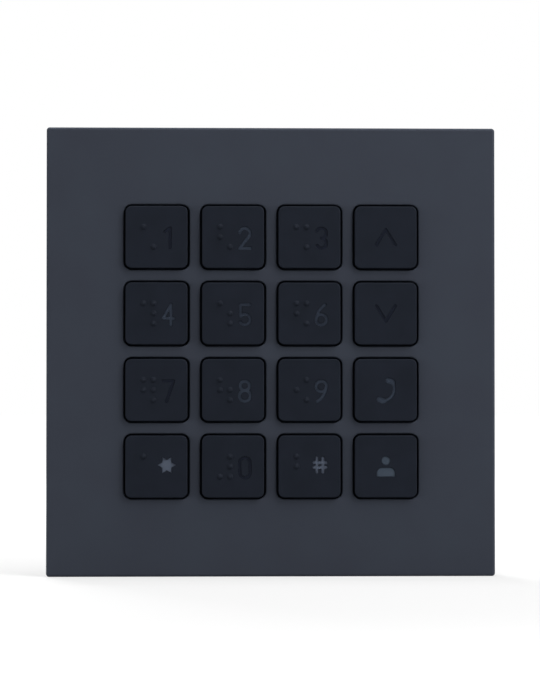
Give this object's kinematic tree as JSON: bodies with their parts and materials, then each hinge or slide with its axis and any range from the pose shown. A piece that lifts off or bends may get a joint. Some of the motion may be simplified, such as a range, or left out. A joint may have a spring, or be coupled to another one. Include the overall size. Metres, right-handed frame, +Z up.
{
  "type": "keypad access reader",
  "caption": "Flush square keypad unit with a dark face plate, sprung square keys with sunk legends and Braille dots, a dome mat, a circuit board and a sealed rear housing with screw terminals.",
  "frame": {"origin": "middle of the square face plate, on the plane of its rear rim, where it meets the panel", "axes": "+Y points into the panel, so the keys face -Y; +Z is up; +X is to the right seen from the front"},
  "size_m": [0.112, 0.0227, 0.112],
  "materials": {
    "plate_paint": "fine matt dark grey powder coat",
    "key_plastic": "fine spark-eroded matt plastic",
    "legend_plastic": "smoky translucent filling",
    "mat_rubber": "moulded silicone",
    "board_laminate": "green solder mask",
    "pad_gold": "gold plated",
    "lamp_resin": "clear resin over a white body",
    "chip_resin": "black moulded resin",
    "can_aluminium": "drawn can",
    "block_plastic": "green moulded plastic",
    "clamp_steel": "zinc plated",
    "screw_steel": "zinc plated",
    "housing_plastic": "fine moulded texture",
    "seal_rubber": "closed-cell foam rubber",
    "insert_brass": "turned and knurled brass"
  },
  "bodies": {
    "unit": {"front_plate": "plate_paint", "key_mat": "mat_rubber", "circuit_board": "board_laminate", "contact_pads": "pad_gold", "backlight_leds": "lamp_resin", "controller_chip": "chip_resin", "bus_driver": "chip_resin", "supply_capacitor": "can_aluminium", "terminal_block": "block_plastic", "terminal_clamps": "clamp_steel", "terminal_screws": "screw_steel", "board_screws": "screw_steel", "rear_housing": "housing_plastic", "housing_seal": "seal_rubber", "housing_screws": "screw_steel", "rim_seal": "seal_rubber", "mounting_inserts": "insert_brass"},
    "button_1": {"key_1": "key_plastic", "legend_1": "legend_plastic"},
    "button_2": {"key_2": "key_plastic", "legend_2": "legend_plastic"},
    "button_3": {"key_3": "key_plastic", "legend_3": "legend_plastic"},
    "button_up": {"key_up": "key_plastic", "legend_up": "legend_plastic"},
    "button_4": {"key_4": "key_plastic", "legend_4": "legend_plastic"},
    "button_5": {"key_5": "key_plastic", "legend_5": "legend_plastic"},
    "button_6": {"key_6": "key_plastic", "legend_6": "legend_plastic"},
    "button_down": {"key_down": "key_plastic", "legend_down": "legend_plastic"},
    "button_7": {"key_7": "key_plastic", "legend_7": "legend_plastic"},
    "button_8": {"key_8": "key_plastic", "legend_8": "legend_plastic"},
    "button_9": {"key_9": "key_plastic", "legend_9": "legend_plastic"},
    "button_call": {"key_call": "key_plastic", "legend_call": "legend_plastic"},
    "button_star": {"key_star": "key_plastic", "legend_star": "legend_plastic"},
    "button_0": {"key_0": "key_plastic", "legend_0": "legend_plastic"},
    "button_hash": {"key_hash": "key_plastic", "legend_hash": "legend_plastic"},
    "button_person": {"key_person": "key_plastic", "legend_person": "legend_plastic"}
  },
  "joints": [
    {"name": "press_1", "type": "slide", "parent": "unit", "child": "button_1", "axis": [0, 1, 0], "range_m": [0, 0.0012], "stiffness_N_per_m": 700, "springref_m": -0.0008, "deforming": ["key_mat"]},
    {"name": "press_2", "type": "slide", "parent": "unit", "child": "button_2", "axis": [0, 1, 0], "range_m": [0, 0.0012], "stiffness_N_per_m": 700, "springref_m": -0.0008, "deforming": ["key_mat"]},
    {"name": "press_3", "type": "slide", "parent": "unit", "child": "button_3", "axis": [0, 1, 0], "range_m": [0, 0.0012], "stiffness_N_per_m": 700, "springref_m": -0.0008, "deforming": ["key_mat"]},
    {"name": "press_up", "type": "slide", "parent": "unit", "child": "button_up", "axis": [0, 1, 0], "range_m": [0, 0.0012], "stiffness_N_per_m": 700, "springref_m": -0.0008, "deforming": ["key_mat"]},
    {"name": "press_4", "type": "slide", "parent": "unit", "child": "button_4", "axis": [0, 1, 0], "range_m": [0, 0.0012], "stiffness_N_per_m": 700, "springref_m": -0.0008, "deforming": ["key_mat"]},
    {"name": "press_5", "type": "slide", "parent": "unit", "child": "button_5", "axis": [0, 1, 0], "range_m": [0, 0.0012], "stiffness_N_per_m": 700, "springref_m": -0.0008, "deforming": ["key_mat"]},
    {"name": "press_6", "type": "slide", "parent": "unit", "child": "button_6", "axis": [0, 1, 0], "range_m": [0, 0.0012], "stiffness_N_per_m": 700, "springref_m": -0.0008, "deforming": ["key_mat"]},
    {"name": "press_down", "type": "slide", "parent": "unit", "child": "button_down", "axis": [0, 1, 0], "range_m": [0, 0.0012], "stiffness_N_per_m": 700, "springref_m": -0.0008, "deforming": ["key_mat"]},
    {"name": "press_7", "type": "slide", "parent": "unit", "child": "button_7", "axis": [0, 1, 0], "range_m": [0, 0.0012], "stiffness_N_per_m": 700, "springref_m": -0.0008, "deforming": ["key_mat"]},
    {"name": "press_8", "type": "slide", "parent": "unit", "child": "button_8", "axis": [0, 1, 0], "range_m": [0, 0.0012], "stiffness_N_per_m": 700, "springref_m": -0.0008, "deforming": ["key_mat"]},
    {"name": "press_9", "type": "slide", "parent": "unit", "child": "button_9", "axis": [0, 1, 0], "range_m": [0, 0.0012], "stiffness_N_per_m": 700, "springref_m": -0.0008, "deforming": ["key_mat"]},
    {"name": "press_call", "type": "slide", "parent": "unit", "child": "button_call", "axis": [0, 1, 0], "range_m": [0, 0.0012], "stiffness_N_per_m": 700, "springref_m": -0.0008, "deforming": ["key_mat"]},
    {"name": "press_star", "type": "slide", "parent": "unit", "child": "button_star", "axis": [0, 1, 0], "range_m": [0, 0.0012], "stiffness_N_per_m": 700, "springref_m": -0.0008, "deforming": ["key_mat"]},
    {"name": "press_0", "type": "slide", "parent": "unit", "child": "button_0", "axis": [0, 1, 0], "range_m": [0, 0.0012], "stiffness_N_per_m": 700, "springref_m": -0.0008, "deforming": ["key_mat"]},
    {"name": "press_hash", "type": "slide", "parent": "unit", "child": "button_hash", "axis": [0, 1, 0], "range_m": [0, 0.0012], "stiffness_N_per_m": 700, "springref_m": -0.0008, "deforming": ["key_mat"]},
    {"name": "press_person", "type": "slide", "parent": "unit", "child": "button_person", "axis": [0, 1, 0], "range_m": [0, 0.0012], "stiffness_N_per_m": 700, "springref_m": -0.0008, "deforming": ["key_mat"]}
  ]
}
